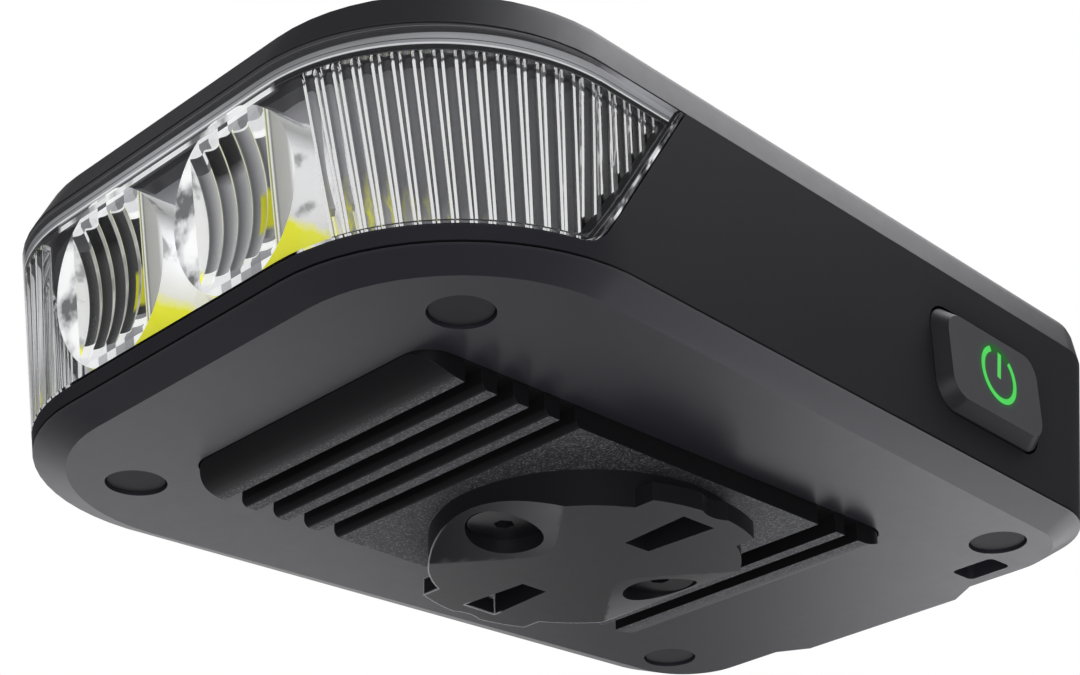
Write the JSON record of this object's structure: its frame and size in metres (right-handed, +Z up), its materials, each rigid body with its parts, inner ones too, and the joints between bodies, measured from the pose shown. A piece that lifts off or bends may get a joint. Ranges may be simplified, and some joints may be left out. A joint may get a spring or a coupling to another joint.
{
  "type": "bicycle headlight",
  "caption": "Flat box-shaped bike headlight with a wrap-around ribbed lens, two clear fluted optics, a lit side button and a grooved cooling base with a quarter-turn mount.",
  "frame": {"origin": "centre of the quarter-turn mount, on its outer face", "axes": "+Y to the rear, where the charging port is; -Y to the front, where the lens is; +X to the button's side; +Z up, away from the mount"},
  "size_m": [0.062, 0.091, 0.0273],
  "materials": {
    "cover_plastic": "fine matt black moulding",
    "base_plastic": "satin charcoal moulding",
    "sink_metal": "black coated casting, grainy on its flat faces",
    "mount_plastic": "smooth black glass-filled nylon",
    "lens_clear": "clear polished polycarbonate",
    "optic_clear": "clear polished acrylic",
    "bezel_grey": "satin dark grey moulding",
    "board_white": "white solder mask",
    "led_white": "white ceramic package",
    "phosphor_yellow": "yellow phosphor layer",
    "board_green": "green solder mask",
    "chip_black": "moulded black epoxy",
    "seal_rubber": "soft red silicone",
    "gasket_black": "black silicone",
    "flap_rubber": "matt black rubber",
    "button_rubber": "satin black rubber",
    "icon_green": "lit green light guide",
    "steel": "plain steel",
    "socket_steel": "plated steel shell",
    "battery_foil": "blue-grey foil pouch",
    "wire_red": "red insulation",
    "foam_black": "black foam",
    "tray_grey": "grey moulding",
    "plunger_white": "white moulded actuator"
  },
  "bodies": {
    "lamp": {"top_cover": "cover_plastic", "housing": "cover_plastic", "bottom_cover": "base_plastic", "body_seal": "seal_rubber", "front_lens": "lens_clear", "lens_gasket": "gasket_black", "optic_left": "optic_clear", "optic_right": "optic_clear", "optic_bezel": "bezel_grey", "led_board": "board_white", "led_packages": "led_white", "led_phosphors": "phosphor_yellow", "led_board_screws": "steel", "led_leads": "wire_red", "heat_sink": "sink_metal", "sink_seal": "seal_rubber", "sink_screws": "steel", "quarter_turn_mount": "mount_plastic", "mount_screws": "steel", "battery_pack": "battery_foil", "battery_leads": "wire_red", "battery_tray": "tray_grey", "battery_foam": "foam_black", "control_board": "board_green", "board_components": "chip_black", "board_screws": "steel", "charging_socket": "socket_steel", "socket_tongue": "chip_black", "switch_body": "chip_black", "port_cover_anchor": "flap_rubber", "cover_screws": "steel", "screw_caps": "cover_plastic"},
    "button": {"power_button": "button_rubber", "button_light_guide": "icon_green"},
    "plunger": {"switch_plunger": "plunger_white"},
    "port_cover": {"port_cover": "flap_rubber"}
  },
  "joints": [
    {"name": "button_press", "type": "slide", "parent": "lamp", "child": "button", "axis": [-0.9984, -0.0562, 0], "range_m": [0, 0.0004], "stiffness_N_per_m": 3000},
    {"name": "plunger_press", "type": "slide", "parent": "lamp", "child": "plunger", "axis": [-0.9984, -0.0562, 0], "range_m": [0, 0.0005]},
    {"name": "port_cover_swing", "type": "hinge", "parent": "lamp", "child": "port_cover", "pos_m": [0, 0.04289, 0.01695], "axis": [1, 0, 0], "range_deg": [0, 100], "stiffness_Nm_per_rad": 0.0008}
  ],
  "couplings": [
    {"joint": "plunger_press", "follows": "button_press", "ratio": 1}
  ]
}
